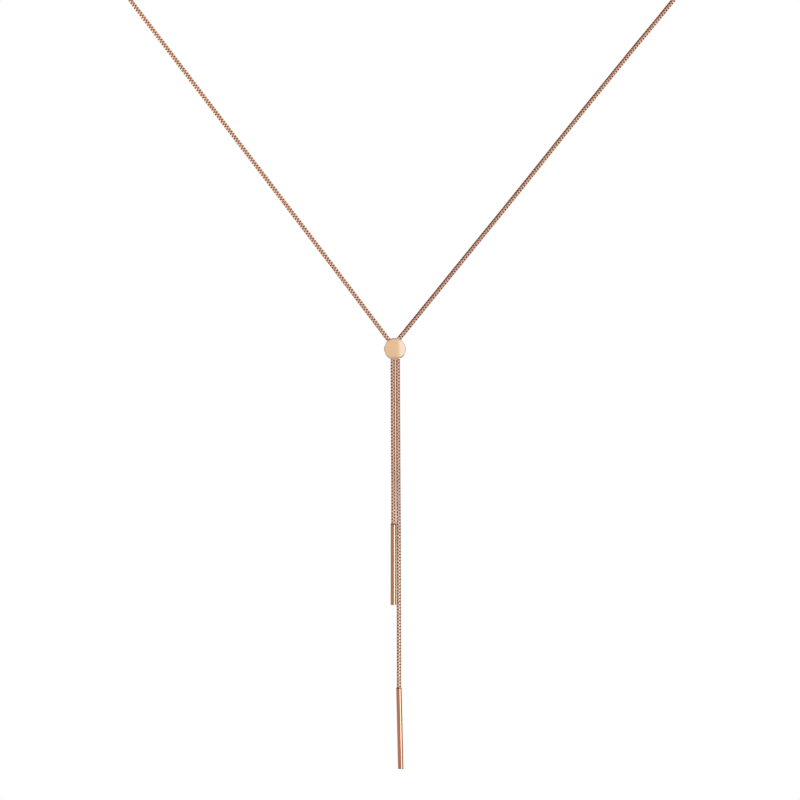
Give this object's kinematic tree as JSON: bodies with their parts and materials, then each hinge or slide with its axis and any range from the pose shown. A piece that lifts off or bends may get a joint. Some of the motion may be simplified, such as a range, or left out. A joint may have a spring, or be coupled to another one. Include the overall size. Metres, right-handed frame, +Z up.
{
  "type": "y necklace",
  "caption": "Fine box chain that runs round the neck and through a sliding disc, its uneven ends each carrying a slim drop bar.",
  "frame": {"origin": "on the inside of the chain at the middle of the nape, where it rests on the wearer's neck", "axes": "+Z up, the wearer's front and the slider towards -Y, the short strand on the -X side as seen from the front"},
  "size_m": [0.161, 0.1121, 0.2356],
  "materials": {
    "chain_metal": "bright rose-gold plating on fine square box links",
    "disc_metal": "rose-gold plating, mirror polished, slightly crowned",
    "bar_metal": "rose-gold plating, mirror polished"
  },
  "bodies": {
    "root": {"left_chain": "chain_metal", "right_chain": "chain_metal", "slider": "disc_metal", "short_bar": "bar_metal", "long_bar": "bar_metal"}
  },
  "joints": []
}
